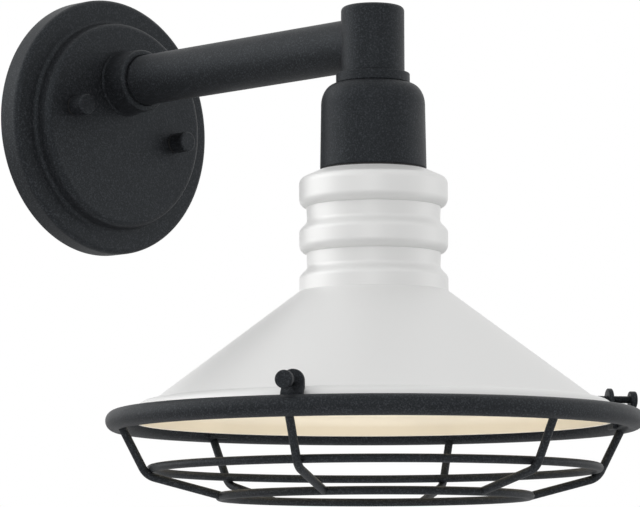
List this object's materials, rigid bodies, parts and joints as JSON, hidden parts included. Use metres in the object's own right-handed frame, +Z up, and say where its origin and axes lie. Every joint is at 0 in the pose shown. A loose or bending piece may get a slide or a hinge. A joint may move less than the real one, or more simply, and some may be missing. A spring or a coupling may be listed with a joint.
{
  "type": "outdoor wall sconce",
  "caption": "Wall sconce with a stepped round canopy, a level arm, a downward cone shade with a ribbed neck and a wire guard that thumbscrews hold at the rim.",
  "frame": {"origin": "centre of the canopy's back, on the wall, midway between the box screws", "axes": "+Y into the wall, -Y along the arm to the shade, +Z up"},
  "size_m": [0.2456, 0.3128, 0.2542],
  "materials": {
    "black_coat": "fine textured black powder coat",
    "white_enamel": "gloss white porcelain enamel",
    "zinc": "zinc plated",
    "brass": "plain brass",
    "black_rubber": "matte",
    "green_screw": "green ground screw",
    "ceramic": "glazed ceramic",
    "solder": "solder",
    "bulb_insulator": "black glass",
    "bulb_cap_metal": "satin",
    "bulb_glass": "frosted white",
    "lead_black": "insulation",
    "lead_white": "insulation",
    "lead_green": "insulation",
    "copper": "bare copper",
    "screw_steel": "plain steel"
  },
  "bodies": {
    "fixture": {"canopy": "black_coat", "canopy_gasket": "black_rubber", "mounting_strap": "zinc", "ground_screw": "green_screw", "stud_left": "zinc", "stud_right": "zinc", "arm_boss": "black_coat", "arm_nipple": "zinc", "arm_lock_washer": "zinc", "arm_locknut": "zinc", "arm_tube": "black_coat", "hub": "black_coat", "collar_ring": "black_coat", "lamp_nipple": "zinc", "cup_locknut": "zinc", "socket_cup": "black_coat", "shade_seal": "black_rubber", "lampholder": "ceramic", "screw_shell": "brass", "socket_contact": "brass", "shade_ring": "black_coat", "shade": "white_enamel", "lead_black": "lead_black", "lead_white": "lead_white", "lead_ground": "lead_green", "lead_tips": "copper", "guard_rim_ring": "black_coat", "guard_middle_ring": "black_coat", "guard_bottom_ring": "black_coat", "guard_rib_1": "black_coat", "guard_rib_2": "black_coat", "guard_rib_3": "black_coat", "guard_rib_4": "black_coat", "guard_rib_5": "black_coat", "guard_rib_6": "black_coat", "guard_lug_1": "black_coat", "guard_lug_2": "black_coat", "guard_lug_3": "black_coat"},
    "washer_left": {"stud_washer_left": "black_rubber"},
    "cap_nut_left": {"cap_nut_left": "black_coat"},
    "washer_right": {"stud_washer_right": "black_rubber"},
    "cap_nut_right": {"cap_nut_right": "black_coat"},
    "screw_nose_1": {"thumbscrew_nose_1": "screw_steel"},
    "thumbscrew_1": {"thumbscrew_1": "black_coat"},
    "screw_nose_2": {"thumbscrew_nose_2": "screw_steel"},
    "thumbscrew_2": {"thumbscrew_2": "black_coat"},
    "screw_nose_3": {"thumbscrew_nose_3": "screw_steel"},
    "thumbscrew_3": {"thumbscrew_3": "black_coat"},
    "bulb_carrier": {"bulb_contact": "solder"},
    "bulb": {"bulb_insulator": "bulb_insulator", "bulb_cap": "bulb_cap_metal", "bulb_globe": "bulb_glass"}
  },
  "joints": [
    {"name": "washer_left_travel", "type": "slide", "parent": "fixture", "child": "washer_left", "axis": [0, -1, 0], "range_m": [0, 0.00476]},
    {"name": "cap_nut_left_turn", "type": "hinge", "parent": "washer_left", "child": "cap_nut_left", "pos_m": [-0.03348, -0.0214, 0.0059], "axis": [0, -1, 0], "range_deg": [0, 2164.32]},
    {"name": "washer_right_travel", "type": "slide", "parent": "fixture", "child": "washer_right", "axis": [0, -1, 0], "range_m": [0, 0.00476]},
    {"name": "cap_nut_right_turn", "type": "hinge", "parent": "washer_right", "child": "cap_nut_right", "pos_m": [0.03348, -0.0214, -0.0059], "axis": [0, -1, 0], "range_deg": [0, 2164.32]},
    {"name": "screw_nose_1_travel", "type": "slide", "parent": "fixture", "child": "screw_nose_1", "axis": [0.0785, 0.9969, 0], "range_m": [0, 0.0036]},
    {"name": "thumbscrew_1_turn", "type": "hinge", "parent": "screw_nose_1", "child": "thumbscrew_1", "pos_m": [0.00959, -0.06818, -0.14349], "axis": [0.0785, 0.9969, 0], "range_deg": [0, 2164.32]},
    {"name": "screw_nose_2_travel", "type": "slide", "parent": "fixture", "child": "screw_nose_2", "axis": [-0.9026, -0.4305, 0], "range_m": [0, 0.0036]},
    {"name": "thumbscrew_2_turn", "type": "hinge", "parent": "screw_nose_2", "child": "thumbscrew_2", "pos_m": [-0.1103, -0.24261, -0.14349], "axis": [-0.9026, -0.4305, 0], "range_deg": [0, 2164.32]},
    {"name": "screw_nose_3_travel", "type": "slide", "parent": "fixture", "child": "screw_nose_3", "axis": [0.8241, -0.5664, 0], "range_m": [0, 0.0036]},
    {"name": "thumbscrew_3_turn", "type": "hinge", "parent": "screw_nose_3", "child": "thumbscrew_3", "pos_m": [0.10071, -0.25921, -0.14349], "axis": [0.8241, -0.5664, 0], "range_deg": [0, 2164.32]},
    {"name": "bulb_carrier_travel", "type": "slide", "parent": "fixture", "child": "bulb_carrier", "axis": [0, 0, -1], "range_m": [0, 0.0254]},
    {"name": "bulb_turn", "type": "hinge", "parent": "bulb_carrier", "child": "bulb", "pos_m": [0, -0.19, -0.06], "axis": [0, 0, -1], "range_deg": [0, 2525.04]}
  ],
  "couplings": [
    {"joint": "cap_nut_left_turn", "follows": "washer_left_travel", "rad_per_m": 7913.3},
    {"joint": "cap_nut_right_turn", "follows": "washer_right_travel", "rad_per_m": 7913.3},
    {"joint": "thumbscrew_1_turn", "follows": "screw_nose_1_travel", "rad_per_m": 10472},
    {"joint": "thumbscrew_2_turn", "follows": "screw_nose_2_travel", "rad_per_m": 10472},
    {"joint": "thumbscrew_3_turn", "follows": "screw_nose_3_travel", "rad_per_m": 10472},
    {"joint": "bulb_turn", "follows": "bulb_carrier_travel", "rad_per_m": 1731.4}
  ]
}
